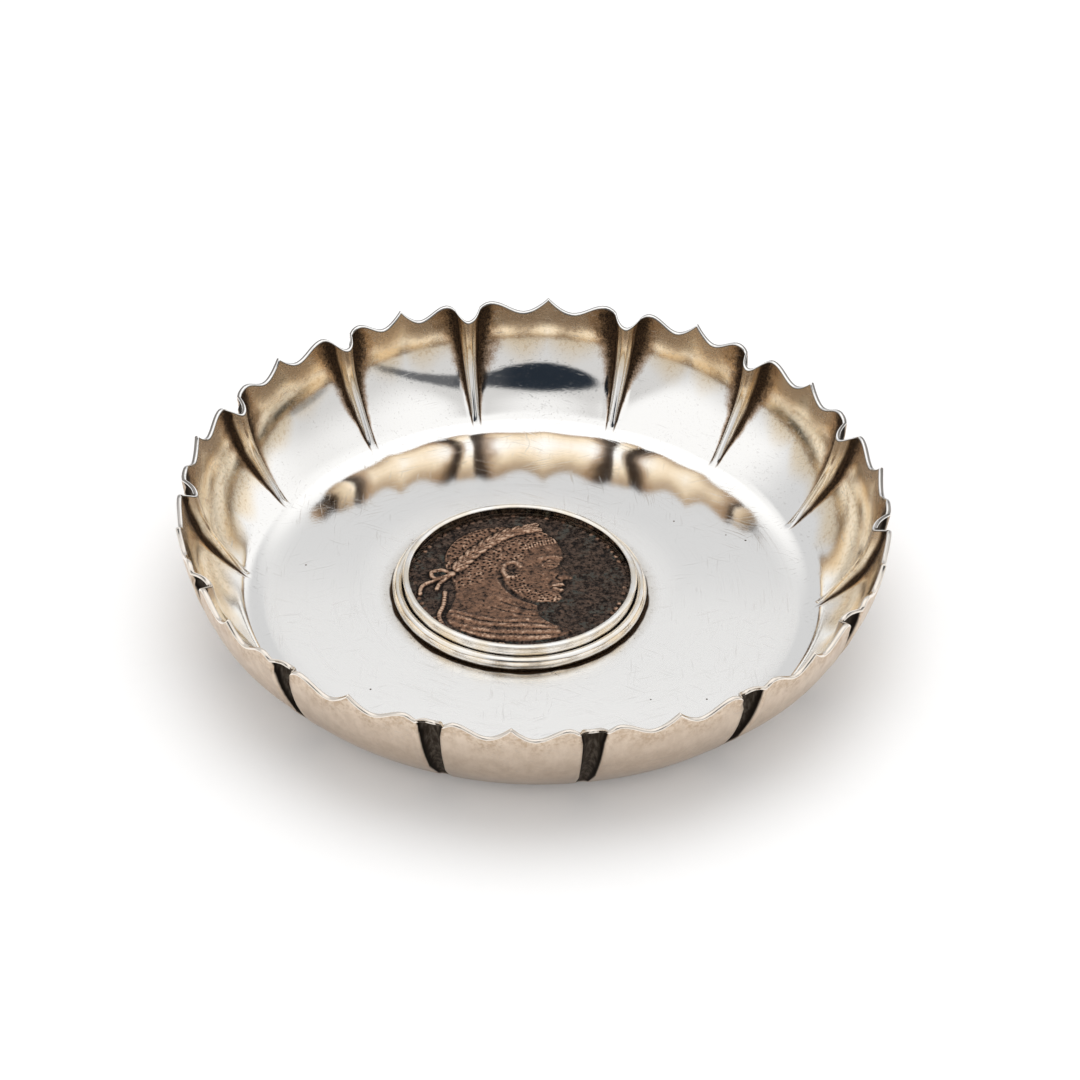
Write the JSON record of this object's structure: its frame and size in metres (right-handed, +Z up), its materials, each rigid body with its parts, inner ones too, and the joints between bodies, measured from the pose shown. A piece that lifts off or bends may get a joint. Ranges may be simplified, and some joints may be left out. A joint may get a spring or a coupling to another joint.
{
  "type": "coin tray",
  "caption": "Shallow round silver tray with a lobed, fluted wall and a scalloped, cusped rim; an old bronze coin is set in a ring bezel on the floor.",
  "frame": {"origin": "middle of the outline, on the table plane under the flat base", "axes": "+Z up, +Y to the back of the pictured view, +X to its right, which is the way the coin's head faces"},
  "size_m": [0.0834, 0.084, 0.015],
  "materials": {
    "dish_silver": "hand raised silver, worn satin polish with golden tarnish under the rim",
    "bezel_silver": "polished silver, dirt in the grooves",
    "packing_silver": "plain silver sheet, hidden",
    "coin_bronze": "dark brown patina, worn copper on the high parts"
  },
  "bodies": {
    "root": {"dish": "dish_silver", "bezel_base_ring": "bezel_silver", "bezel_collet": "bezel_silver", "coin_seat": "packing_silver", "coin": "coin_bronze"}
  },
  "joints": []
}
